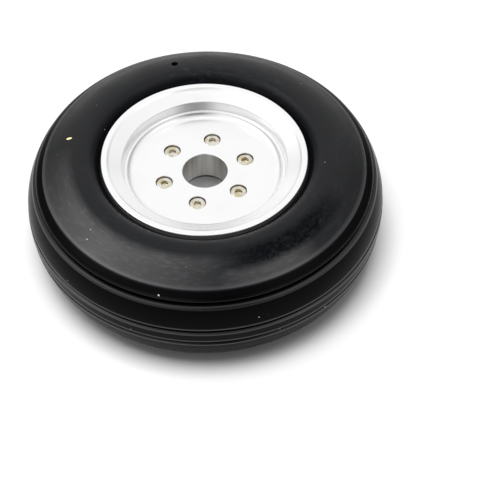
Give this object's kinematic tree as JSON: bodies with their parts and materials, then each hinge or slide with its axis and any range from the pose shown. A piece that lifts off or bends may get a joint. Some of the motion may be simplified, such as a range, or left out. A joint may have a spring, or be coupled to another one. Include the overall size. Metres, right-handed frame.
{
  "type": "model aircraft wheel",
  "caption": "Wheel for a model aircraft: hollow ribbed rubber tyre clamped between two dished aluminium hub halves held together by small cap screws.",
  "frame": {"origin": "on the wheel's axis, in the middle plane of the tyre", "axes": "+Z along the axis, out of the outer hub's dished face; +X and +Y across the wheel, which has no other preferred direction"},
  "size_m": [0.102, 0.102, 0.036],
  "materials": {
    "tyre_rubber": "satin black moulded rubber",
    "hub_aluminium": "fine turned, satin bright",
    "screw_steel": "bright steel"
  },
  "bodies": {
    "root": {"tyre": "tyre_rubber", "outer_hub": "hub_aluminium", "inner_hub": "hub_aluminium", "hub_screw_1": "screw_steel", "hub_screw_2": "screw_steel", "hub_screw_3": "screw_steel", "hub_screw_4": "screw_steel", "hub_screw_5": "screw_steel", "hub_screw_6": "screw_steel"}
  },
  "joints": []
}
